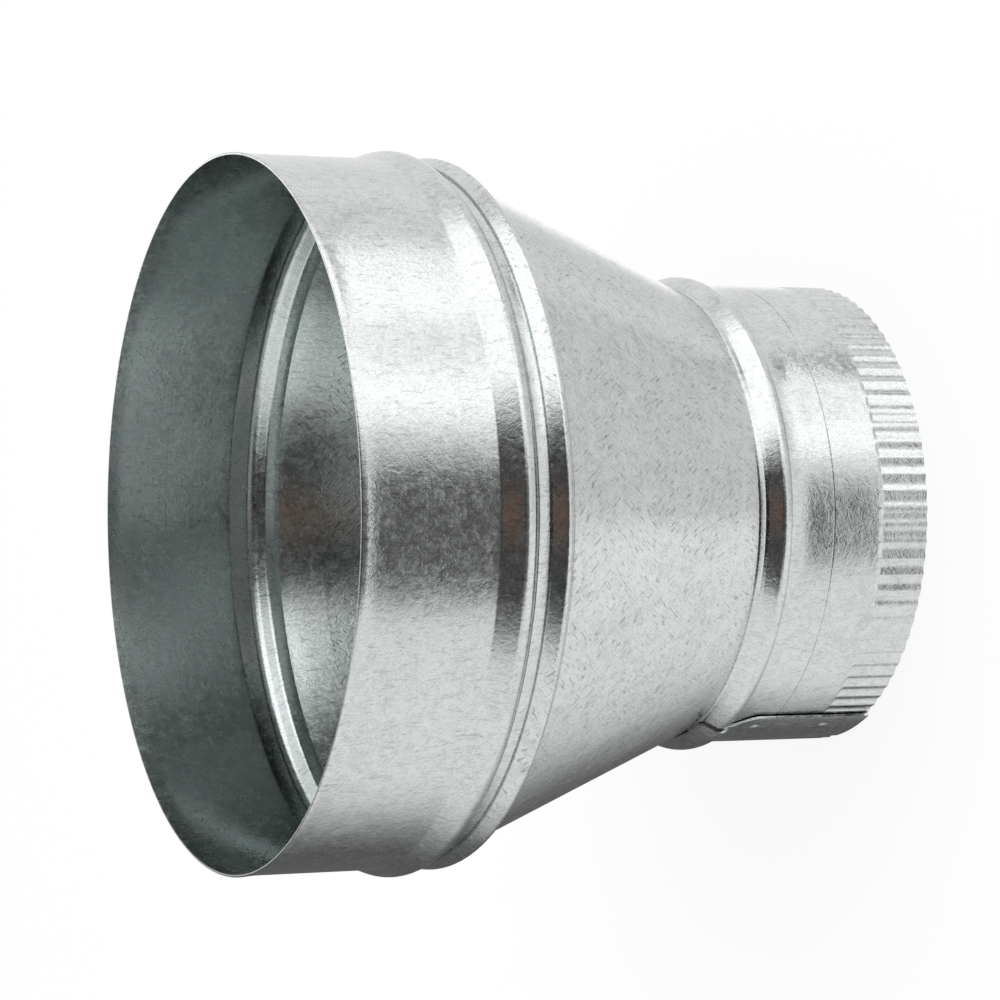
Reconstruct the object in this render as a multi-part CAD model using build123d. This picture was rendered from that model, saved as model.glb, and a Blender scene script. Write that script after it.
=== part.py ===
"""Duct reducer, 6 in to 4 in: three rolled sheets lapped into each other and locked by beads.

The part stands on its crimped end. Z is the duct axis, z = 0 is the crimped edge, the plain socket is on top.
Stations along the sheets are measured down from the mouth, so z = total_len - station.
"""
import os
from math import acos, asin, atan2, cos, degrees, hypot, radians, sin, tan
from build123d import *

# Sheet and duct sizes
sheet_t = 0.55            # galvanised sheet, 26 gauge
large_bore_d = 152.4      # inside diameter of the plain socket
small_bore_d = 101.6      # inside diameter of the small collar
total_len = 143.2         # mouth to crimped edge

# Large collar: socket, stop bead, groove, skirt
socket_len = 29.9         # mouth to the foot of the stop bead
rim_flare = 0.28          # the rim opens by this much
rim_flare_len = 3.0
stop_bead_len = 6.19      # foot of the bead to its ridge corner
stop_bead_face = 20.7     # degrees, slope of the long face
stop_bead_back = 51.5     # degrees, slope of the falling face
stop_bead_bend = 3.0      # outside bend radius of the ridge
groove_fall = 2.58        # ridge corner to the kink at the foot of the falling face
groove_kink_bend = 0.8
groove_run = 1.35         # kink to the groove's bottom corner
groove_slope = 14.0       # degrees, slope of that run
groove_round = 0.78       # share of that run taken by the bend at the bottom corner
groove_level = 1.62       # bottom corner to the skirt
skirt_len = 9.5           # the collar's end runs on inside the cone by this much

# Tapered body: lip, bead, cone, neck, skirt
lip_back = 0.34           # corner of the skirt back to the cut edge of the lip, along the axis
lip_len = 3.80            # cut edge of the lip to the bead's ridge corner
taper_bead_face = 22.6    # degrees
taper_bead_back = 58.0
taper_bead_bend = 1.3
spigot_len = 41.65        # neck corner to the crimped edge
neck_skirt_len = 13.0     # the cone's end runs on inside the small collar by this much

# Small collar: lip, bead, collar, crimps
small_lip_start = 1.30    # neck corner to the cut edge of the lip
small_bead_len = 4.88     # lip edge to the bead's ridge corner
small_bead_face = 22.6    # degrees
small_bead_back = 50.0
small_bead_bend = 1.3
small_foot_rise = 0.30    # the collar eases up to the bead
small_foot_len = 4.2
crimp_len = 11.9
crimp_runout = 0.9
crimp_depth = 0.42
crimp_pitch_deg = 4.09    # about 88 flutes on a full turn
crimp_land = 0.10         # share of the pitch taken by the narrow crest
crimp_floor = 0.02        # share of the pitch taken by the bottom of the flute

# Lap seam of the small collar
seam_deg = 208.5          # direction of the visible cut edge
lap_turn = 60.0           # the outer layer eases out over this angle
lap_len = 7.5             # overlap of the two layers
lap_gap = 0.05            # clearance between the layers at the hidden edge
lap_plain = 14.0          # sheet left uncrimped beside the cut edge
weld_d = 2.4
weld_dip = 0.28
weld_shares = (0.322, 0.896)  # places of the two spot welds on the straight collar, from the crimped edge


def shifted(path, dist):
    """The path moved sideways toward the axis by dist, corner by corner."""
    lines = []
    for (s0, r0), (s1, r1) in zip(path, path[1:]):
        length = hypot(s1 - s0, r1 - r0)
        nx, ny = (r1 - r0) / length, -(s1 - s0) / length
        lines.append(((s0 + nx * dist, r0 + ny * dist), (s1 + nx * dist, r1 + ny * dist)))
    out = [lines[0][0]]
    for (a, b), (c, d) in zip(lines, lines[1:]):
        den = (b[0] - a[0]) * (d[1] - c[1]) - (b[1] - a[1]) * (d[0] - c[0])
        k = ((c[0] - a[0]) * (d[1] - c[1]) - (c[1] - a[1]) * (d[0] - c[0])) / den
        out.append((a[0] + k * (b[0] - a[0]), a[1] + k * (b[1] - a[1])))
    out.append(lines[-1][1])
    return out


def at(p):
    """(station, radius) to a point of the XZ half plane."""
    return Vector(p[1], 0, total_len - p[0])


def bent(path, bends):
    """Edges along a path whose inner corners are rounded by the bend radii."""
    edges = []
    last = path[0]
    for i in range(1, len(path) - 1):
        p, c, n = path[i - 1], path[i], path[i + 1]
        u = ((p[0] - c[0]), (p[1] - c[1]))
        w = ((n[0] - c[0]), (n[1] - c[1]))
        lu, lw = hypot(*u), hypot(*w)
        u = (u[0] / lu, u[1] / lu)
        w = (w[0] / lw, w[1] / lw)
        half = acos(max(-1.0, min(1.0, u[0] * w[0] + u[1] * w[1]))) / 2
        rad = bends[i - 1]
        if rad <= 0:
            edges.append(Line(at(last), at(c)))
            last = c
            continue
        reach = rad / tan(half)
        a = (c[0] + u[0] * reach, c[1] + u[1] * reach)
        b = (c[0] + w[0] * reach, c[1] + w[1] * reach)
        m = (u[0] + w[0], u[1] + w[1])
        lm = hypot(*m)
        far = rad / sin(half) - rad
        mid = (c[0] + m[0] / lm * far, c[1] + m[1] / lm * far)
        edges.append(Line(at(last), at(a)))
        edges.append(ThreePointArc(at(a), at(mid), at(b)))
        last = b
    edges.append(Line(at(last), at(path[-1])))
    return edges


def section(path, bends, thick=sheet_t):
    """Closed section of a bent sheet. The path is its outside, and a level end is cut level."""
    inner = shifted(path, thick)
    for end, near in ((0, 1), (-1, -2)):
        if path[end][0] in (0, total_len):
            (s0, r0), (s1, r1) = inner[near], inner[end]
            k = (path[end][0] - s0) / (s1 - s0)
            inner[end] = (path[end][0], r0 + k * (r1 - r0))
    inner_bends = []
    for i, rad in enumerate(bends):
        p, c, n = path[i], path[i + 1], path[i + 2]
        turn = (c[0] - p[0]) * (n[1] - c[1]) - (c[1] - p[1]) * (n[0] - c[0])
        inner_bends.append(0 if rad <= 0 else (rad - thick if turn < 0 else rad + thick))
    edges = bent(path, bends)
    edges.append(Line(at(path[-1]), at(inner[-1])))
    edges += bent(inner[::-1], inner_bends[::-1])
    edges.append(Line(at(inner[0]), at(path[0])))
    return Face(Wire(edges))


def turned(face, start, arc, axis=Axis.Z):
    """The section turned to a starting direction and swept round an axis."""
    return revolve(face.rotate(Axis.Z, start), axis=axis, revolution_arc=arc)


os.makedirs("parts", exist_ok=True)
large_r = large_bore_d / 2 + sheet_t
small_r = small_bore_d / 2 + sheet_t

# Large collar
foot = (socket_len, large_r)
ridge = (socket_len + stop_bead_len, foot[1] + stop_bead_len * tan(radians(stop_bead_face)))
kink = (ridge[0] + groove_fall, ridge[1] - groove_fall * tan(radians(stop_bead_back)))
groove = (kink[0] + groove_run, kink[1] - groove_run * tan(radians(groove_slope)))
skirt = (groove[0] + groove_level, groove[1])
half_turn = radians(groove_slope) / 2
groove_bend = groove_round * groove_run / cos(radians(groove_slope)) / tan(half_turn)

# The cone's outside runs to the neck, one sheet outside the corner of the skirt, so the skirt lies on its inside
neck = (total_len - spigot_len, small_r - sheet_t)
reach = hypot(neck[0] - skirt[0], neck[1] - skirt[1])
cone_slope = tan(atan2(neck[1] - skirt[1], neck[0] - skirt[0]) - asin(sheet_t / reach))
skirt_end = (skirt[0] + skirt_len, skirt[1] + skirt_len * cone_slope)
collar_path = [(0, large_r + rim_flare), (rim_flare_len, large_r), foot, ridge, kink, groove, skirt, skirt_end]
collar_face = section(collar_path, [0, 0, stop_bead_bend, groove_kink_bend, groove_bend, 0])
large_collar = turned(collar_face, 0, 360)

# Tapered body. Its lip sits on the level bottom of the groove, and its neck runs on inside the small collar
lip1 = (skirt[0] - lip_back, groove[1] + sheet_t * cos(radians(taper_bead_face)))
ridge1 = (lip1[0] + lip_len, lip1[1] + lip_len * tan(radians(taper_bead_face)))
over_cone = ridge1[1] - neck[1] - cone_slope * (ridge1[0] - neck[0])
foot1_s = ridge1[0] + over_cone / (tan(radians(taper_bead_back)) + cone_slope)
foot1 = (foot1_s, neck[1] + cone_slope * (foot1_s - neck[0]))
neck_end = (neck[0] + neck_skirt_len, neck[1])
taper_path = [lip1, ridge1, foot1, neck, neck_end]
taper_face = section(taper_path, [taper_bead_bend, 0, 0])
tapered_body = turned(taper_face, 0, 360)

# Small collar
lip2 = (neck[0] + small_lip_start, neck[1] + sheet_t * cos(radians(small_bead_face)))
ridge2 = (lip2[0] + small_bead_len, lip2[1] + small_bead_len * tan(radians(small_bead_face)))
foot2_r = small_r + small_foot_rise
foot2 = (ridge2[0] + (ridge2[1] - foot2_r) / tan(radians(small_bead_back)), foot2_r)
ease = (foot2[0] + small_foot_len, small_r)
collar2_path = [lip2, ridge2, foot2, ease, (total_len, small_r)]
plain_face = section(collar2_path, [small_bead_bend, 0, 0])


def lap_sizes(radius):
    """Angle of the overlap, angle to the hidden edge, and how far the lap's own axis is moved back."""
    hidden = lap_turn - degrees(lap_len / radius)
    return hidden, (sheet_t + lap_gap) / (1 - cos(radians(hidden)))


def lap_axis(edge_deg, back):
    a = radians(edge_deg - lap_turn)
    return Axis((-back * cos(a), -back * sin(a), 0), (0, 0, 1))


def rolled(face, edge_deg, radius):
    """A sheet rolled past a full turn. Its outer layer eases out, tangent at its start, to the cut edge."""
    hidden, back = lap_sizes(radius)
    start = edge_deg - lap_turn
    body = turned(face, start + hidden, 360 - hidden)
    return body + turned(face, start, lap_turn, lap_axis(edge_deg, back))


def spot_weld(sheet, edge_deg, radius, height):
    """Joins the two layers in mid lap and presses a round dip into the outer one."""
    hidden, back = lap_sizes(radius)
    mid = (lap_turn + hidden) / 2
    direction = edge_deg - lap_turn + mid
    rise = back * (1 - cos(radians(mid)))
    frame = Rot(0, 0, direction) * Pos(radius, 0, height)
    plug = frame * Pos(rise / 2 - sheet_t / 2, 0, 0) * Box(rise, weld_d * 0.8, weld_d * 0.8)
    ball = ((weld_d / 2) ** 2 + weld_dip ** 2) / (2 * weld_dip)
    dip = frame * Pos(rise - weld_dip + ball, 0, 0) * Sphere(ball)
    return sheet + plug - dip


# Crimps: the band is filled inward, then flutes are cut from outside and their lands hollowed from inside
def crimped(sheet, edge_deg):
    hidden, back = lap_sizes(small_r)
    start = edge_deg - lap_turn
    band = Polyline(
        at((total_len - crimp_len, small_r - sheet_t)),
        at((total_len - crimp_len + crimp_runout, small_r - sheet_t - crimp_depth)),
        at((total_len, small_r - sheet_t - crimp_depth)),
        at((total_len, small_r - sheet_t)),
        close=True,
    )
    band = Face(Wire(band.edges()))
    pitch = radians(crimp_pitch_deg) * small_r
    land = pitch * crimp_land / 2
    floor = pitch * crimp_floor / 2
    flank = pitch / 2 - land - floor
    lean = atan2(crimp_depth, flank)
    tuck = sheet_t * tan(lean / 2)
    lap_pitch = degrees(pitch / (small_r + back))
    n_body = int((360 - lap_turn - 0.5) / crimp_pitch_deg)
    n_lap = int((lap_turn - degrees(lap_plain / small_r)) / lap_pitch)
    low, over = -1.0, 1.0
    side = Polyline(
        (small_r - crimp_depth, low),
        (small_r - crimp_depth, crimp_len - crimp_runout),
        (small_r, crimp_len),
        (small_r + over, crimp_len + over * crimp_runout / crimp_depth),
        (small_r + over, low),
        close=True,
    )
    side = extrude(Plane.XZ * make_face(side), amount=pitch / 2, both=True)
    slope = flank / crimp_depth
    cross = make_face(Polyline(
        (small_r - crimp_depth, -floor),
        (small_r + over, -floor - slope * (crimp_depth + over)),
        (small_r + over, floor + slope * (crimp_depth + over)),
        (small_r - crimp_depth, floor),
        close=True,
    ))
    flute = side & extrude(Pos(0, 0, low) * cross, amount=crimp_len - low + 3)
    roof = land - tuck
    deep = crimp_depth + over
    hollow = make_face(Polyline(
        (small_r - sheet_t, -roof),
        (small_r - sheet_t, roof),
        (small_r - sheet_t - deep, roof + slope * deep),
        (small_r - sheet_t - deep, -roof - slope * deep),
        close=True,
    ))
    hollow = extrude(Pos(0, 0, low) * hollow, amount=crimp_len - low + 1)
    fill = turned(band, start + 360 - n_body * crimp_pitch_deg, n_body * crimp_pitch_deg)
    fill_lap = turned(band, start, n_lap * lap_pitch, lap_axis(edge_deg, back))
    shift = lap_axis(edge_deg, back).position
    cuts = []
    for k in range(n_body):
        cuts.append(Rot(0, 0, start - (k + 0.5) * crimp_pitch_deg) * flute)
    for k in range(n_body + 1):
        cuts.append(Rot(0, 0, start - k * crimp_pitch_deg) * hollow)
    for k in range(n_lap):
        cuts.append(Pos(shift) * Rot(0, 0, start + (k + 0.5) * lap_pitch) * Pos(back, 0, 0) * flute)
    for k in range(1, n_lap + 1):
        cuts.append(Pos(shift) * Rot(0, 0, start + k * lap_pitch) * Pos(back, 0, 0) * hollow)
    return (sheet + fill + fill_lap).cut(*cuts)


small_collar = rolled(plain_face, seam_deg, small_r)
for share in weld_shares:
    small_collar = spot_weld(small_collar, seam_deg, small_r, share * (total_len - ease[0]))
small_collar = crimped(small_collar, seam_deg)

export_step(large_collar, "parts/large_collar.step")
export_step(tapered_body, "parts/tapered_body.step")
export_step(small_collar, "parts/small_collar.step")
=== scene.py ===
# %% [markdown]
# # A galvanised duct reducer
# The object is three thin sheets rolled round one axis and folded into each other: a wide collar, a cone and
# a narrow crimped collar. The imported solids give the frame. Their meshes are made for checking and show flat
# facets on a mirror-like metal, so each sheet is made again here as a fine mesh from the same named sizes.

# %% Load the frame
from math import acos, asin, atan2, ceil, cos, degrees, hypot, pi, radians, sin, tan

import bmesh
import bpy
from mathutils import Matrix, Vector


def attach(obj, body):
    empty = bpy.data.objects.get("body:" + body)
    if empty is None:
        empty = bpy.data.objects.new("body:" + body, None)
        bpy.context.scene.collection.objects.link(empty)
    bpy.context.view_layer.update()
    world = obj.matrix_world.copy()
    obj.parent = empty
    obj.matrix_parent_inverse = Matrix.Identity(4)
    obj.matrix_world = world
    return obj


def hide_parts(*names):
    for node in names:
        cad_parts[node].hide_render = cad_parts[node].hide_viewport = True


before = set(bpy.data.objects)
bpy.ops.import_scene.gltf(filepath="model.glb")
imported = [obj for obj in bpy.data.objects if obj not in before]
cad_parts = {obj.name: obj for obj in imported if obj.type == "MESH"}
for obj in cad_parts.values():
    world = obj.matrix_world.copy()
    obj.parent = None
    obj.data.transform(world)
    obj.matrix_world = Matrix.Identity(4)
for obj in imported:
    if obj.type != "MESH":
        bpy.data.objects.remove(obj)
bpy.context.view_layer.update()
MM = 0.001

# %% [markdown]
# ## Sizes
# Sizes are in millimetres and angles in degrees. A station is measured down from the mouth, as with a rule
# laid along the duct, so a point's height is the total length less its station. A radius is that of the
# outside of the sheet. Each section starts as the corners that a sheet worker would mark, as pairs of
# station and radius.

# %% Sizes of the sheets
sheet_t, total_len = 0.55, 143.2
large_bore_d, small_bore_d = 152.4, 101.6
large_r = large_bore_d / 2 + sheet_t
small_r = small_bore_d / 2 + sheet_t


def onward(point, along, rise):
    """The next corner of a line, that far along the duct and that much further from the axis."""
    return (point[0] + along, point[1] + rise)


def slope(angle):
    """Rise for each millimetre along the duct."""
    return tan(radians(angle))


print("outside radii:", round(large_r, 2), round(small_r, 2))

# %% Corners of the wide collar
rim_flare, rim_flare_len, socket_len = 0.28, 3.0, 29.9
stop_bead_len, stop_bead_face, stop_bead_back = 6.19, 20.7, 51.5
groove_fall, groove_run, groove_slope, groove_level, skirt_len = 2.58, 1.35, 14.0, 1.62, 9.5
foot = (socket_len, large_r)
ridge = onward(foot, stop_bead_len, stop_bead_len * slope(stop_bead_face))
kink = onward(ridge, groove_fall, -groove_fall * slope(stop_bead_back))
groove = onward(kink, groove_run, -groove_run * slope(groove_slope))
skirt = onward(groove, groove_level, 0)
print("stop bead stands", round(ridge[1] - large_r, 2), "mm proud")

# %% Corners of the cone
lip_back, lip_len, taper_bead_face, taper_bead_back = 0.34, 3.80, 22.6, 58.0
spigot_len, neck_skirt_len, neck_fullness = 41.65, 13.0, 0.7
neck = (total_len - spigot_len, small_r - sheet_t)
reach = hypot(neck[0] - skirt[0], neck[1] - skirt[1])
cone_slope = tan(atan2(neck[1] - skirt[1], neck[0] - skirt[0]) - asin(sheet_t / reach))
skirt_end = onward(skirt, skirt_len, skirt_len * cone_slope)
rim = (0, large_r + rim_flare)
large_collar_line = [rim, (rim_flare_len, large_r), foot, ridge, kink, groove, skirt, skirt_end]
lip = (skirt[0] - lip_back, groove[1] + sheet_t * cos(radians(taper_bead_face)))
taper_ridge = onward(lip, lip_len, lip_len * slope(taper_bead_face))
over_cone = taper_ridge[1] - neck[1] - cone_slope * (taper_ridge[0] - neck[0])
fall_len = over_cone / (slope(taper_bead_back) + cone_slope)
cone_foot = onward(taper_ridge, fall_len, -fall_len * slope(taper_bead_back))
cone_end = onward(neck, neck_fullness, 0)
taper_line = [lip, taper_ridge, cone_foot, cone_end, onward(neck, neck_skirt_len, 0)]
print("cone from r", round(cone_foot[1], 2), "to r", round(neck[1], 2))

# %% [markdown]
# ## One section of bent sheet
# A folded sheet is straight runs joined by bends. A curve with a bevel would give the bends, but not an even
# wall. So the outside line is walked with arcs at its corners, and the inside is the same line moved by the
# thickness of the sheet. Long runs are divided too: on a mirror-like surface, short faces beside a bend keep
# the shading honest. The first edge of each sheet is rounded a little, because a perfect corner catches no
# light.

# %% Walk the outside line
large_collar_bends = [30.0, 2.5, 3.0, 0.8, 8.6, 0.6]
taper_bends = [1.3, 0.9, 0.9]


def bent_line(corners, bends, run_step=2.5, arc_steps=9):
    """Points along a line whose inner corners are rounded by the bend radii, arc_steps to 70 degrees."""
    stops = [corners[0]]
    for before, corner, after, bend in zip(corners, corners[1:], corners[2:], bends):
        u = (Vector(before) - Vector(corner)).normalized()
        w = (Vector(after) - Vector(corner)).normalized()
        half = acos(u.dot(w)) / 2
        centre = Vector(corner) + (u + w).normalized() * bend / sin(half)
        first = Vector(corner) + u * bend / tan(half) - centre
        last = Vector(corner) + w * bend / tan(half) - centre
        sweep = pi - 2 * half
        steps = max(2, ceil(arc_steps * sweep / radians(70)))
        for i in range(steps + 1):
            t = i / steps
            mix = first * sin((1 - t) * sweep) + last * sin(t * sweep)
            stops.append(tuple(centre + mix / sin(sweep)))
    stops.append(corners[-1])
    points = [stops[0]]
    for a, b in zip(stops, stops[1:]):
        pieces = max(1, ceil(hypot(b[0] - a[0], b[1] - a[1]) / run_step))
        points += [(a[0] + (b[0] - a[0]) * i / pieces, a[1] + (b[1] - a[1]) * i / pieces)
                   for i in range(1, pieces + 1)]
    return points


large_collar_outside = bent_line(large_collar_line, large_collar_bends)
taper_outside = bent_line(taper_line, taper_bends)
print("points outside:", len(large_collar_outside), len(taper_outside))


# %% Give the line the thickness of the sheet
def wall(points):
    """Closed section of the sheet: the outside line, then the inside line walked back."""
    inside = []
    for i, (s, r) in enumerate(points):
        a = points[max(i - 1, 0)]
        b = points[min(i + 1, len(points) - 1)]
        before = Vector((s - a[0], r - a[1])).normalized()
        after = Vector((b[0] - s, b[1] - r)).normalized()
        along = (before + after).normalized()
        mitre = sheet_t / max(along.dot(before), along.dot(after))
        moved = s + along.y * mitre
        inside.append((min(max(moved, 0), total_len), r - along.x * mitre))
    return points + inside[::-1] + points[:1]


large_collar_wall = wall(large_collar_outside)
taper_wall = wall(taper_outside)
print("points of the walls:", len(large_collar_wall), len(taper_wall))

# %% Ease the first edge
edge_ease = 0.30


def eased(section, size):
    """The section with the outer corner of its first edge rounded, as a sheared edge is by handling."""
    corner = Vector(section[0])
    along = (Vector(section[1]) - corner).normalized() * size
    across = (Vector(section[-2]) - corner).normalized() * size
    turn = [radians(30 * i) for i in range(4)]
    arc = [tuple(corner + along * (1 - cos(t)) + across * (1 - sin(t))) for t in turn]
    return arc + section[1:-1] + arc[:1]


large_collar_section = eased(large_collar_wall, edge_ease)
taper_section = eased(taper_wall, edge_ease)
print("points of the sections:", len(large_collar_section), len(taper_section))

# %% [markdown]
# ## Sums on sockets
# Node trees are easier to read as sums than as boxes. This class wraps one socket, so that `1 - mask * 0.5`
# adds the Math nodes it needs. Its `node` method adds any other node: settings first, then its sockets.


# %% A socket that can be used in sums
class Wire:
    def __init__(self, tree, socket):
        self.tree = tree
        self.socket = socket

    @classmethod
    def node(cls, tree, kind, settings=None, values=None, out=0):
        """Adds a node and gives one of its outputs."""
        made = tree.nodes.new(kind)
        for name, value in (settings or {}).items():
            setattr(made, name, value)
        for name, value in (values or {}).items():
            if isinstance(value, Wire):
                tree.links.new(value.socket, made.inputs[name])
            else:
                made.inputs[name].default_value = value
        return cls(tree, made.outputs[out]) if made.outputs else made

    def also(self, out):
        """Another output of the same node."""
        return Wire(self.tree, self.socket.node.outputs[out])

    def maths(self, operation, *others):
        """A Math node with this socket as its first term."""
        terms = dict(enumerate((self, *others)))
        return Wire.node(self.tree, "ShaderNodeMath", {"operation": operation}, terms)

    def __add__(self, other):
        return self.maths("ADD", other)

    def __sub__(self, other):
        return self.maths("SUBTRACT", other)

    def __rsub__(self, other):
        return Wire.node(self.tree, "ShaderNodeMath", {"operation": "SUBTRACT"}, {0: other, 1: self})

    def __mul__(self, other):
        return self.maths("MULTIPLY", other)

    def __truediv__(self, other):
        return self.maths("DIVIDE", other)

    def __rtruediv__(self, other):
        return Wire.node(self.tree, "ShaderNodeMath", {"operation": "DIVIDE"}, {0: other, 1: self})

    def __gt__(self, other):
        return self.maths("GREATER_THAN", other)

    def __lt__(self, other):
        return self.maths("LESS_THAN", other)

    def __abs__(self):
        return self.maths("ABSOLUTE")

    __radd__ = __add__
    __rmul__ = __mul__

    def ramp(self, low, high, kind="SMOOTHSTEP"):
        """0 below low, 1 above high, and a soft step between them."""
        values = {0: self, 1: low, 2: high, 3: 0.0, 4: 1.0}
        return Wire.node(self.tree, "ShaderNodeMapRange", {"interpolation_type": kind}, values)

    def band(self, low, high, soft):
        """1 between low and high, with soft edges."""
        return self.ramp(low - soft, low + soft) * (1 - self.ramp(high - soft, high + soft))

    def parts(self):
        """X, Y and Z of a vector."""
        split = Wire.node(self.tree, "ShaderNodeSeparateXYZ", {}, {0: self})
        return split, split.also(1), split.also(2)


print("sums on sockets ready")

# %% [markdown]
# ## The rolling tree
# All three sheets follow one rule: a section is carried round the axis. A revolve tool would do for the first
# two, but the narrow collar is rolled past a full turn, so that its end lies over its start, and its edge is
# crimped. So one Geometry Nodes tree lays out a grid, reads the radius and height of each row from the
# section and the direction of each column from a second list, and adds the lap, the crimps, the spot welds
# and the sag of the lap's edge beside the bead by rule.

# %% Crimps and spot welds
sheet_sizes = ["Lap From", "Lap Back", "Crimp Pitch", "Lap Pitch", "Crimps", "Lap Crimps", "Crimp Depth",
               "Crimp Length", "Crimp Runout", "Land Edge", "Flank", "Weld Turn", "Weld Low", "Weld High",
               "Weld Radius", "Weld Dip", "Lap Edge", "Sag", "Sag From", "Sag To"]
scoop_len = 3.0


def crimp_cut(size, turn, past, height):
    """How deep the crimps lie there. Those on the lap have their own pitch and number."""
    pitch = size["Crimp Pitch"] + past * (size["Lap Pitch"] - size["Crimp Pitch"])
    count = size["Crimps"] + past * (size["Lap Crimps"] - size["Crimps"])
    phase = abs(turn) / pitch
    from_land = abs((phase + 0.5).maths("FRACT") - 0.5)
    flute = from_land.ramp(size["Land Edge"], size["Land Edge"] + size["Flank"], "LINEAR")
    scoop = (0.5 - from_land) * (0.5 - from_land) * size["Crimp Runout"] * scoop_len
    run = (size["Crimp Length"] - scoop - height).ramp(0.0, size["Crimp Runout"])
    return flute * run * (phase < count) * size["Crimp Depth"]


def weld_cut(size, turn, radius, height):
    """How deep the two spot welds are pressed there."""
    around = (turn - size["Weld Turn"]) * (radius + size["Lap Back"])
    dip = 0.0
    for name in ("Weld Low", "Weld High"):
        up = height - size[name]
        away = (around * around + up * up) / (size["Weld Radius"] * size["Weld Radius"])
        dip = dip + (1 - away).maths("MAXIMUM", 0.0)
    return dip * size["Weld Dip"]


print("the tree is given", len(sheet_sizes), "sizes")

# %% Build the rolling tree
sag_share, join_within = 0.75, 0.002 * MM


def rolling_tree():
    tree = bpy.data.node_groups.new("rolled_sheet", "GeometryNodeTree")
    tree.interface.new_socket("Geometry", in_out="OUTPUT", socket_type="NodeSocketGeometry")
    tree.interface.new_socket("Section", in_out="INPUT", socket_type="NodeSocketGeometry")
    tree.interface.new_socket("Columns", in_out="INPUT", socket_type="NodeSocketObject")
    tree.interface.new_socket("Finish", in_out="INPUT", socket_type="NodeSocketMaterial")
    for name in sheet_sizes:
        tree.interface.new_socket(name, in_out="INPUT", socket_type="NodeSocketFloat")
    given = Wire.node(tree, "NodeGroupInput")
    size = {name: given.also(name) for name in sheet_sizes}

    section = given.also("Section")
    columns = Wire.node(tree, "GeometryNodeObjectInfo", {}, {"Object": given.also("Columns")}, "Geometry")
    n_cols = Wire.node(tree, "GeometryNodeAttributeDomainSize", {}, {"Geometry": columns}, "Point Count")
    n_rows = Wire.node(tree, "GeometryNodeAttributeDomainSize", {}, {"Geometry": section}, "Point Count")
    place = Wire.node(tree, "GeometryNodeInputPosition")
    grid = Wire.node(tree, "GeometryNodeMeshGrid", {},
                     {"Size X": 1.0, "Size Y": 1.0, "Vertices X": n_cols, "Vertices Y": n_rows}, "Mesh")
    u, v, _ = place.parts()
    col = ((u + 0.5) * (n_cols - 1)).maths("ROUND")
    row = ((v + 0.5) * (n_rows - 1)).maths("ROUND")
    pick = {"data_type": "FLOAT_VECTOR"}
    flat_turn, _, _ = Wire.node(tree, "GeometryNodeSampleIndex", pick,
                                {"Geometry": columns, "Value": place, "Index": col}).parts()
    radius, _, height = Wire.node(tree, "GeometryNodeSampleIndex", pick,
                                  {"Geometry": section, "Value": place, "Index": row}).parts()
    past = flat_turn > 0.0
    near_edge = flat_turn.ramp(size["Lap Edge"] * sag_share, size["Lap Edge"]) * past
    turn = flat_turn + near_edge * height.ramp(size["Sag From"], size["Sag To"]) * size["Sag"]

    back = size["Lap Back"] * past
    cut = crimp_cut(size, turn, past, height) + weld_cut(size, turn, radius, height)
    reach = radius + back - cut
    angle = turn + size["Lap From"]
    x = reach * angle.maths("COSINE") - back * size["Lap From"].maths("COSINE")
    y = reach * angle.maths("SINE") - back * size["Lap From"].maths("SINE")
    spot = Wire.node(tree, "ShaderNodeCombineXYZ", {}, {0: x, 1: y, 2: height})
    rolled = Wire.node(tree, "GeometryNodeSetPosition", {}, {"Geometry": grid, "Position": spot})
    joined = Wire.node(tree, "GeometryNodeMergeByDistance", {}, {"Geometry": rolled, "Distance": join_within})
    real = Wire.node(tree, "GeometryNodeRealizeInstances", {}, {"Geometry": joined})
    finish = given.also("Finish")
    done = Wire.node(tree, "GeometryNodeSetMaterial", {}, {"Geometry": real, "Material": finish})
    Wire.node(tree, "NodeGroupOutput", {}, {"Geometry": done})
    return tree


rolling = rolling_tree()
print("rolling tree:", len(rolling.nodes), "nodes")

# %% [markdown]
# ## From tree to sheet
# The tree's result is turned into a plain mesh and the modifier is taken off. Ends that are left open, as at
# the two edges of the lapped collar, are closed, and only true corners stay sharp.

# %% Roll one sheet
corner_angle = 38


def row_mesh(name, points):
    """An object whose mesh is only a row of points, or is empty."""
    mesh = bpy.data.meshes.new(name)
    mesh.from_pydata(points, [], [])
    made = bpy.data.objects.new(name, mesh)
    bpy.context.scene.collection.objects.link(made)
    return made


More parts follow.
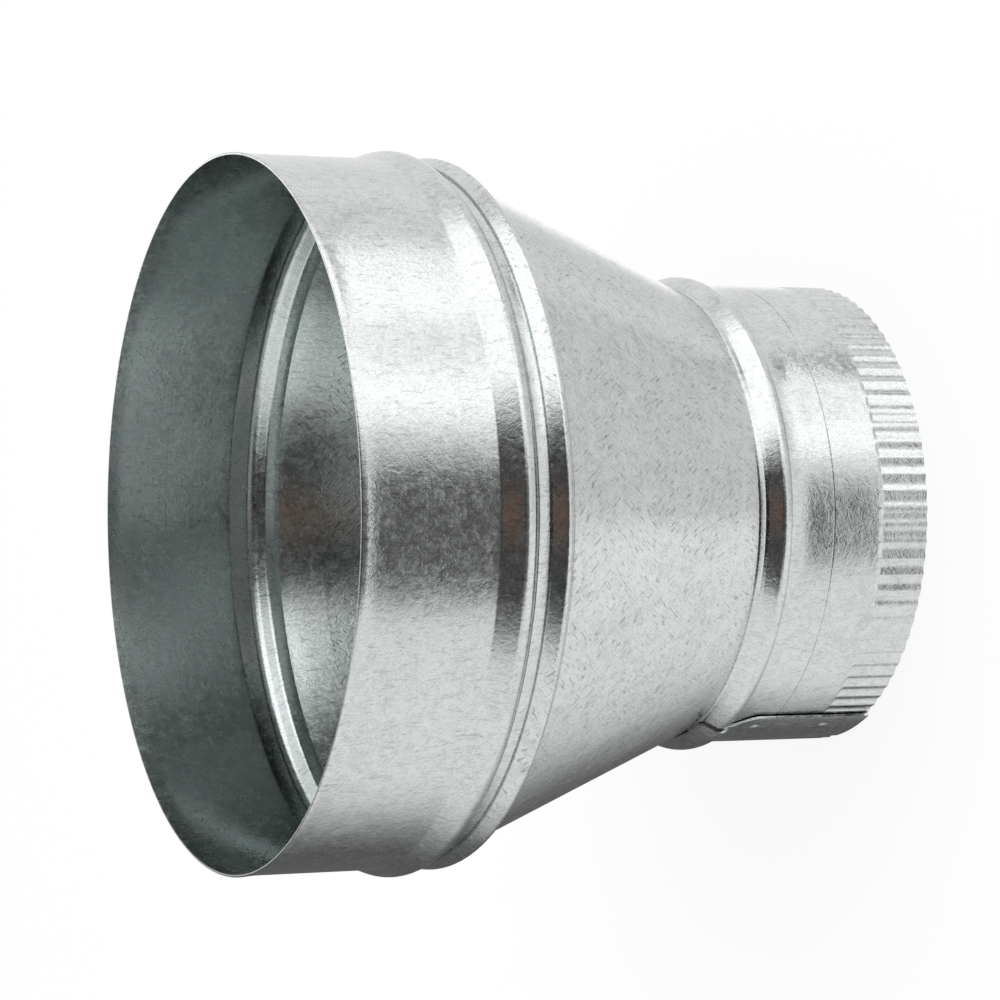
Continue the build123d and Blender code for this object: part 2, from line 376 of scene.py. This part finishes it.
def roll(name, section, turns, finish, sizes):
    """A sheet with that section, at those turns. Sizes that the tree divides by start at 1."""
    sheet = row_mesh(name, [(r * MM, 0, (total_len - s) * MM) for s, r in section])
    columns = row_mesh(name + "_columns", [(radians(t), 0, 0) for t in turns])
    modifier = sheet.modifiers.new("roll", "NODES")
    modifier.node_group = rolling
    values = {"Columns": columns, "Finish": finish, "Crimp Pitch": 1.0, "Lap Pitch": 1.0, "Weld Radius": 1.0,
              "Lap Edge": 1.0, "Sag To": 1.0}
    values.update(sizes)
    for socket in rolling.interface.items_tree:
        if socket.name in values:
            modifier[socket.identifier] = values[socket.name]
    seen = sheet.evaluated_get(bpy.context.evaluated_depsgraph_get())
    mesh = bpy.data.meshes.new_from_object(seen)
    sheet.modifiers.clear()
    sheet.data = mesh
    bpy.data.objects.remove(columns)
    bm = bmesh.new()
    bm.from_mesh(mesh)
    bmesh.ops.holes_fill(bm, edges=[e for e in bm.edges if e.is_boundary], sides=0)
    bmesh.ops.recalc_face_normals(bm, faces=bm.faces)
    open_edges = sum(not e.is_manifold for e in bm.edges)
    bm.to_mesh(mesh)
    bm.free()
    mesh.shade_smooth()
    mesh.set_sharp_from_angle(angle=radians(corner_angle))
    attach(sheet, "root")
    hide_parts(name.replace("_sheet", ""))
    print(name, len(mesh.polygons), "faces,", open_edges, "open edges")


print("corners over", corner_angle, "degrees stay sharp")

# %% [markdown]
# ## Galvanised finish
# Hot-dip zinc is a soft mirror: its crystals differ a little in tone and gloss, rolling leaves a fine grain
# along the duct, and handling leaves short dark flecks. The inside is rougher and greener, and its colour is
# painted darker the deeper it lies, as painted shade in the depth of the duct.
# An image could carry all this but would blur close up, so it is one metal shader, with its base colour,
# roughness and bump fed by noises on Object coordinates. Each noise's share is named in a table below.

# %% Galvanised sheet
zinc_outside, zinc_inside = (0.68, 0.705, 0.696, 1), (0.65, 0.71, 0.70, 1)
# The second is how much darker the inside is painted, as painted shade deep in the duct; the last two are the
# heights in mm where that painted shade starts and where it is full.
plain_shade, painted_depth_dark, depth_shade_from, depth_shade_to = 0.91, 0.28, 104, 96
plain_rough, inside_rough, fleck_rough = 0.17, 0.045, 0.4
# The first is how much of the inside's greener colour fades under the painted depth shade.
deep_tint, ring_relief = 0.5, 0.1
shade_shares = {"clouds": 0.20, "spangle": 0.50, "fine": 0.75, "grain": 0.40}
rough_shares = {"clouds": 0.12, "spangle": 0.36, "peel": 0.25}
relief_shares = {"fine": 0.012, "grain": 0.010, "peel": 0.016, "spangle": 0.050, "waves": 0.30}


def galvanised(name, seed, radius, lean, stretch, scratch, streak, rings=()):
    """Zinc on a sheet of that radius, with its lean of grain, depth of flecks and streaks, and dark rings."""
    material = bpy.data.materials.new(name)
    material.use_nodes = True
    tree = material.node_tree
    tree.nodes.clear()
    place = Wire.node(tree, "ShaderNodeTexCoord", {}, {}, "Object")
    x, y, height = place.parts()
    around = y.maths("ARCTAN2", x) * (radius * MM)
    solid = Wire.node(tree, "ShaderNodeMapping", {}, {"Vector": place, "Location": (seed, seed * 0.7, 0.0)})

    def drawn(slant, squeeze):
        """Coordinates on the unrolled sheet, slanted and drawn out along the duct."""
        values = {0: around + height * slant, 1: height * squeeze, 2: seed}
        return Wire.node(tree, "ShaderNodeCombineXYZ", {}, values)

    def noise(where, scale, detail=3.0, rough=0.55, warp=0.0):
        values = {"Vector": where, "Scale": scale, "Detail": detail, "Roughness": rough, "Distortion": warp}
        return Wire.node(tree, "ShaderNodeTexNoise", {}, values)

    def dashes(slant):
        """Short dashes at that slant."""
        marks = noise(drawn(slant, 0.30), scale=1900.0, detail=0.0, rough=0.5, warp=0.5)
        return marks.ramp(0.66, 0.73)

    noises = {
        "clouds": noise(solid, scale=60.0),
        "waves": noise(solid, scale=42.0, detail=1.0),
        "spangle": noise(solid, scale=420.0, rough=0.7, warp=0.6),
        "peel": noise(solid, scale=1400.0, detail=2.0, rough=0.6),
        "grain": noise(drawn(lean, stretch), scale=1900.0, detail=2.0, rough=0.6),
        "fine": noise(solid, scale=3600.0, detail=2.0, rough=0.6)}

    def mixed(shares):
        """The noises, each about zero, by their shares."""
        return sum((noises[part] - 0.5) * share for part, share in shares.items())

    clouds = noises["clouds"]
    streaks = noise(drawn(0.0, 0.16), scale=1500.0, detail=1.0, rough=0.5, warp=1.2).ramp(0.58, 0.70)
    flecks = dashes(-0.9) * clouds.ramp(0.35, 0.60) + dashes(0.8) * (1 - clouds.ramp(0.40, 0.65))
    face_x, face_y, _ = Wire.node(tree, "ShaderNodeNewGeometry", {}, {}, "True Normal").parts()
    inside = (face_x * x + face_y * y) < 0.0
    # Painted shade: inside faces are painted darker and less tinted below the first height, fully below the
    # second.
    painted_depth_shade = inside * (1 - height.ramp(depth_shade_to * MM, depth_shade_from * MM))

    # The colour is the zinc's own tone, flecks and streaks, less the painted shade deep inside.
    shade = plain_shade + mixed(shade_shares) - flecks * scratch - streaks * streak - painted_depth_shade * painted_depth_dark
    relief = mixed(relief_shares)
    for ring_height, width, depth in rings:
        line = 1 - abs(height - ring_height * MM).ramp(0.0, width * MM)
        shade = shade - line * depth
        relief = relief - line * depth * ring_relief
    rough = plain_rough + mixed(rough_shares) + flecks * scratch * fleck_rough + inside * inside_rough
    zinc = Wire.node(tree, "ShaderNodeMix", {"data_type": "RGBA"},
                     {0: inside - painted_depth_shade * deep_tint, 6: zinc_outside, 7: zinc_inside}, 2)
    colour = Wire.node(tree, "ShaderNodeMix", {"data_type": "RGBA"},
                       {0: shade, 6: (0.0, 0.0, 0.0, 1), 7: zinc}, 2)
    bump = Wire.node(tree, "ShaderNodeBump", {}, {"Height": relief, "Distance": MM, "Strength": 1.0})
    shader = Wire.node(tree, "ShaderNodeBsdfPrincipled", {},
                       {"Base Color": colour, "Roughness": rough, "Metallic": 1.0, "Normal": bump})
    Wire.node(tree, "ShaderNodeOutputMaterial", {}, {"Surface": shader})
    return material


print("noises in the shade:", ", ".join(shade_shares))

# %% Finish of each sheet
collar_line, spigot_line = (total_len - 14.2, 0.25, 0.05), (total_len - 120.1, 0.22, 0.35)
mid_cone_r = 62.0
collar_zinc = galvanised("collar_zinc", seed=0.0, radius=large_r, lean=0.5, stretch=0.5, scratch=0.05,
                         streak=0.17, rings=[collar_line])
cone_zinc = galvanised("cone_zinc", seed=0.31, radius=mid_cone_r, lean=-0.8, stretch=0.45, scratch=0.30,
                       streak=0.04)
spigot_zinc = galvanised("spigot_zinc", seed=0.57, radius=small_r, lean=0.2, stretch=0.4, scratch=0.05,
                         streak=0.11, rings=[spigot_line])
print("finishes:", collar_zinc.name, cone_zinc.name, spigot_zinc.name)

# %% [markdown]
# ## Wide collar and cone
# The wide collar takes the end of the larger duct, up to its stop bead. The turned-out end of the cone lies
# over the groove behind that bead and locks the two. A Screw modifier could turn these sections, but the
# rolling tree is there already. Both sheets close on themselves, with flush seams that can't be seen, so
# their columns are even steps round a full turn.

# %% Roll the wide collar and the cone
n_steps = 300
full_turn = [360 * i / n_steps for i in range(n_steps + 1)]
roll("large_collar_sheet", large_collar_section, full_turn, collar_zinc, {})
roll("tapered_body_sheet", taper_section, full_turn, cone_zinc, {})

# %% [markdown]
# ## Narrow collar
# This end slips into the next duct, so its edge is crimped and can close up a little. An array of cut crimps
# would leave a ragged mesh, so they are part of the rolling. The sheet starts under the lap, goes once round
# and eases out over its own start, on an arc about an axis moved back by `lap_back`. Turns are counted from
# where the lap leaves the round. Its bead is softer than the two wide ones: a turned lip lies on the cone,
# then come a crease, a round crown and a slight waist. Each crimp gets columns at its land, on its flanks and
# at its floor, and rows are close where the crimps run out and at the two spot welds.

# %% Corners of the narrow collar
small_lip_start, small_bead_len, small_bead_face, small_bead_back = 1.30, 4.88, 22.6, 50.0
small_foot_rise, small_foot_len = 0.30, 4.2
small_lip = onward(neck, small_lip_start, sheet_t * cos(radians(small_bead_face)))
small_ridge = onward(small_lip, small_bead_len, small_bead_len * slope(small_bead_face))
small_fall = small_ridge[1] - small_r - small_foot_rise
small_foot = onward(small_ridge, small_fall / slope(small_bead_back), -small_fall)
small_ease = onward(small_foot, small_foot_len, -small_foot_rise)
straight_len = total_len - small_ease[0]
print("straight collar:", round(straight_len, 2))

# %% Rolled line of the narrow collar
crown_back, waist_len, waist_fall, waist_above = 58, 2.9, 0.05, 23.2
turned_lip = onward(small_lip, -0.60, -0.19)
crease = onward(small_lip, 0.80, -0.36)
bead_start = onward(crease, 0.5, 0.45)
crown = onward(small_ridge, 0.55, 0.56)
crown_foot = (crown[0] + (crown[1] - small_foot[1]) / slope(crown_back), small_foot[1])
waist = (crown_foot[0] + waist_len, small_r - waist_fall)
waist_end = (total_len - waist_above, small_r)
bead_line = [turned_lip, crease, bead_start, crown, crown_foot]
small_collar_line = bead_line + [waist, waist_end, (total_len, small_r)]
small_collar_bends = [0.15, 0.5, 2.5, 0.4, 25.0, 200.0]
print("third bead stands", round(crown[1] - small_r, 2), "mm proud before its crown is rounded")

# %% Lap and crimps
seam_deg, lap_turn, lap_len, lap_gap, lap_plain = 208.5, 60.0, 7.5, 0.05, 14.0
hidden_turn = lap_turn - degrees(lap_len / small_r)
lap_back = (sheet_t + lap_gap) / (1 - cos(radians(hidden_turn)))
crimp_len, crimp_runout, crimp_depth, crimp_pitch = 11.9, 0.9, 0.42, 4.09
land_edge, flank, crimp_spare = 0.05, 0.44, 0.5
lap_pitch = crimp_pitch * small_r / (small_r + lap_back)
n_crimps = int((360 - lap_turn - crimp_spare) / crimp_pitch)
n_lap_crimps = int((lap_turn - degrees(lap_plain / small_r)) / lap_pitch)
weld_turn = (lap_turn + hidden_turn) / 2
weld_d, weld_dip, weld_shares = 2.4, 0.28, (0.322, 0.896)
weld_heights = [share * straight_len for share in weld_shares]
edge_sag, sag_from = 3.6, 7.0
bead_height = total_len - small_foot[0]
print(n_crimps, "+", n_lap_crimps, "crimps, lap moved back", round(lap_back, 2))

# %% Columns and rows of the narrow collar
crimp_columns = [0, 0.05, 0.25, 0.5, 0.75, 0.95]
body_turns = [-(k + c) * crimp_pitch for k in range(n_crimps) for c in crimp_columns]
lap_turns = [(k + c) * lap_pitch for k in range(n_lap_crimps) for c in crimp_columns]
body_end, lap_start = -n_crimps * crimp_pitch, n_lap_crimps * lap_pitch
hidden_edge = hidden_turn - 360
n_hidden, n_plain = 6, 32
body_turns += [body_end + (hidden_edge - body_end) * i / n_hidden for i in range(n_hidden + 1)]
lap_turns += [lap_start + (lap_turn - lap_start) * i / n_plain for i in range(n_plain + 1)]
small_turns = sorted(set(round(t, 6) for t in body_turns + lap_turns))

weld_step, runout_step, lip_ease = 0.5, 0.3, 0.15
rows = bent_line(small_collar_line, small_collar_bends, run_step=2.6, arc_steps=7)
close_rows = [total_len - h + d * weld_step for h in weld_heights for d in range(-3, 4)]
close_rows += [total_len - crimp_len + d * runout_step for d in range(-1, 7)]
for s in close_rows:
    (s0, r0), (s1, r1) = next(pair for pair in zip(rows, rows[1:]) if pair[1][0] >= s)
    rows = sorted(rows + [(s, r0 + (r1 - r0) * (s - s0) / (s1 - s0))])
small_collar_section = eased(wall(rows), lip_ease)
print(len(small_turns), "columns,", len(small_collar_section), "rows")

# %% Roll the narrow collar
roll("small_collar_sheet", small_collar_section, small_turns, spigot_zinc, {
    "Lap From": radians(seam_deg - lap_turn), "Lap Back": lap_back * MM, "Crimp Pitch": radians(crimp_pitch),
    "Lap Pitch": radians(lap_pitch), "Crimps": float(n_crimps), "Lap Crimps": float(n_lap_crimps),
    "Crimp Depth": crimp_depth * MM, "Crimp Length": crimp_len * MM, "Crimp Runout": crimp_runout * MM,
    "Land Edge": land_edge, "Flank": flank, "Weld Turn": radians(weld_turn), "Weld Low": weld_heights[0] * MM,
    "Weld High": weld_heights[1] * MM, "Weld Radius": weld_d / 2 * MM, "Weld Dip": weld_dip * MM,
    "Lap Edge": radians(lap_turn), "Sag": -edge_sag / small_r, "Sag From": (bead_height - sag_from) * MM,
    "Sag To": bead_height * MM})

# %% [markdown]
# ## Studio
# Metal shows what stands round it. The photograph shows a white tent with a dark gap where the camera looks
# in, a brighter panel on one side and a darker back on the other. Real boards would stand in the way from
# other sides, so the world holds them, by direction and for glossy rays only. Azimuth is 0 toward the front
# and grows toward -X, elevation is 0 at the horizon.

# %% Directions in the tent
world = bpy.data.worlds.new("tent")
bpy.context.scene.world = world
world.use_nodes = True
world.cycles.sampling_method = "NONE"
tent = world.node_tree
tent.nodes.clear()
to_x, to_y, to_z = Wire.node(tent, "ShaderNodeTexCoord", {}, {}, "Generated").parts()
azimuth = (0 - to_x).maths("ARCTAN2", 0 - to_y) * degrees(1)
elevation = to_z.maths("ARCSINE") * degrees(1)
above = elevation.ramp(-14, -4)
below = 0 - elevation
steep = below.ramp(22, 31)
print("directions:", len(tent.nodes), "nodes")

# %% Dark gap, bright panel and shades of the tent
lower = below.ramp(24, 31)
gap_low = azimuth.band(-17 + lower * 4, 28 - lower * 6, 8) * (1 - above) * elevation.ramp(-32.2, -29.2)
gap_high = azimuth.band(-36, 38, 9) * above * (1 - elevation.ramp(45, 65))
gap_top = to_x.band(-0.27, 0.27, 0.05) * elevation.ramp(40, 52) * (1 - to_y.ramp(0.1, 0.3))
gap_core = azimuth.band(-7, 7, 4) * elevation.band(8, 40, 6)
panel_edge = -100 + below.ramp(0, 22) * 6 + steep * 27
panel_dent = azimuth.band(-64, -46, 4) * elevation.band(-30, -12, 4) * 0.6
panel = azimuth.ramp(panel_edge - 5, panel_edge + 5) * (1 - azimuth.ramp(-36, -22))
panel = panel * elevation.band(-38, 60, 5) * (1 - panel_dent)
border = azimuth.band(panel_edge - 21, panel_edge - 8, 4) * elevation.band(-37, 25, 5)
under = 1 - elevation.ramp(-55, -49)
floor_shade = azimuth.band(-118, 6, 2) * under
shade_line = azimuth.band(-117, -109, 3) * under
front_floor = azimuth.band(6, 60, 6) * (1 - elevation.ramp(-50, -44))
side_floor = (1 - azimuth.ramp(-100, -90)) * elevation.band(-50, -33, 4)
far_side = 1 - azimuth.ramp(-140, -120)
dark_back = to_y.ramp(0.0, 0.68) * (1 - to_x.ramp(-0.03, 0.08)) * (1 - below.ramp(30, 55) * 0.4)
bright_back = to_y.ramp(0.55, 0.85) * to_x.band(0.06, 0.30, 0.05) * elevation.band(-38, -27, 4)
rim_light = to_y.ramp(0.7, 0.8) * to_x.band(-0.2, 0.2, 0.05) * elevation.band(8, 45, 4)
print("tent parts:", len(tent.nodes), "nodes")

# %% Light of the tent
white_tent, least_light, plain_light = 1.0, 0.02, 0.9
warm = (1.0, 0.62, 0.46, 1)
shares = [(gap_low, -0.87), (gap_high, -0.93), (gap_top, -0.95), (gap_core, 0.10), (panel, 0.64),
          (border, -0.12 - steep * 0.46), (floor_shade, -0.19), (shade_line, -0.28), (side_floor, -0.10),
          (far_side, -0.08), (front_floor, 0.08), (dark_back, -0.88), (rim_light, 0.6), (bright_back, 0.35)]
tone = sum((part * light for part, light in shares), white_tent)
tone = tone.maths("MAXIMUM", least_light)
rays = Wire.node(tent, "ShaderNodeLightPath")
glossy = rays.also("Is Glossy Ray")
strength = plain_light + glossy * (tone - plain_light) + rays.also("Is Camera Ray") * (1 - plain_light)
tint = Wire.node(tent, "ShaderNodeMix", {"data_type": "RGBA"},
                 {0: gap_core * glossy, 6: (1, 1, 1, 1), 7: warm}, 2)
sky = Wire.node(tent, "ShaderNodeBackground", {}, {"Color": tint, "Strength": strength})
Wire.node(tent, "ShaderNodeOutputWorld", {}, {"Surface": sky})
print("tent:", len(tent.nodes), "nodes")

# %% [markdown]
# ## Floor and lamp
# The floor is pale and shows white to the camera, yet keeps a little of the shadow under the part. A white
# floor would shine up the duct, so a round of paper painted dark grey, a painted shadow, lies inside. The
# lamp is left out of the metal's reflections: it lights the floor and gives the part its soft shadow.

# %% Floor
floor_half, pale, seen_white = 6, (0.9, 0.9, 0.9, 1), 0.85
floor = row_mesh("floor", [])
bm = bmesh.new()
bmesh.ops.create_grid(bm, x_segments=1, y_segments=1, size=floor_half)
bm.to_mesh(floor.data)
bm.free()
floor_paper = bpy.data.materials.new("floor_paper")
floor_paper.use_nodes = True
paper = floor_paper.node_tree
paper.nodes.clear()
lit = Wire.node(paper, "ShaderNodeBsdfDiffuse", {}, {"Color": pale})
white = Wire.node(paper, "ShaderNodeEmission", {}, {"Color": (1, 1, 1, 1), "Strength": 1.0})
ray = Wire.node(paper, "ShaderNodeLightPath")
direct = ray.also("Is Camera Ray") + ray.also("Is Glossy Ray") + ray.also("Is Transmission Ray")
shown = Wire.node(paper, "ShaderNodeMixShader", {}, {0: direct * seen_white, 1: lit, 2: white})
Wire.node(paper, "ShaderNodeOutputMaterial", {}, {"Surface": shown})
floor.data.materials.append(floor_paper)
floor.visible_glossy = False
print("floor:", 2 * floor_half, "m wide")

# %% Paper painted with the shadow under the part
# Painted shadow: the paper under the part is painted dark grey where the real floor lies in the duct's shadow.
paper_r, paper_lift, painted_shadow_grey = small_r - 3, 0.2, (0.35, 0.35, 0.35, 1)
shadow_disc = row_mesh("shaded_paper", [])
bm = bmesh.new()
bmesh.ops.create_circle(bm, cap_ends=True, segments=64, radius=paper_r * MM,
                        matrix=Matrix.Translation((0, 0, paper_lift * MM)))
bm.to_mesh(shadow_disc.data)
bm.free()
shaded_paper = bpy.data.materials.new("shaded_paper")
shaded_paper.use_nodes = True
painted_shadow_tree = shaded_paper.node_tree
painted_shadow_tree.nodes.clear()
shadow_diffuse = Wire.node(painted_shadow_tree, "ShaderNodeBsdfDiffuse", {}, {"Color": painted_shadow_grey})
Wire.node(painted_shadow_tree, "ShaderNodeOutputMaterial", {}, {"Surface": shadow_diffuse})
shadow_disc.data.materials.append(shaded_paper)
print("grey paper: radius", round(paper_r, 1), "mm")

# %% Lamp
lamp = bpy.data.lights.new("softbox", "AREA")
lamp.size = 1.2
lamp.energy = 9.0
softbox = bpy.data.objects.new("softbox", lamp)
bpy.context.scene.collection.objects.link(softbox)
softbox.location = (0.5, -0.4, 1.4)
middle = Vector((0, 0, 0.07))
softbox.rotation_euler = (middle - softbox.location).to_track_quat("-Z", "Y").to_euler()
softbox.visible_glossy = False
print("softbox", lamp.energy, "W")

# %% [markdown]
# ## Camera
# The place and lens come from a fit of the two round ends and the beads in the photograph. The picture is
# turned on its side: the part stands on its crimped end, and the camera looks down at it with the mouth to
# the left.

# %% Camera
camera = bpy.data.cameras.new("camera")
camera.lens = 133.25
camera.sensor_width = 36.0
viewer = bpy.data.objects.new("camera", camera)
bpy.context.scene.collection.objects.link(viewer)
right = Vector((-0.00185, -0.41775, -0.90856))
up = Vector((1.0, 0.0, -0.00204))
back_to_viewer = right.cross(up)
turned = Matrix((right, up, back_to_viewer)).transposed().to_4x4()
camera_place = Matrix.Translation((0.00368, -0.74095, 0.41898))
viewer.matrix_world = camera_place @ turned
bpy.context.scene.camera = viewer
bpy.context.scene.view_settings.view_transform = "Standard"
print("camera at", [round(v, 3) for v in viewer.location])
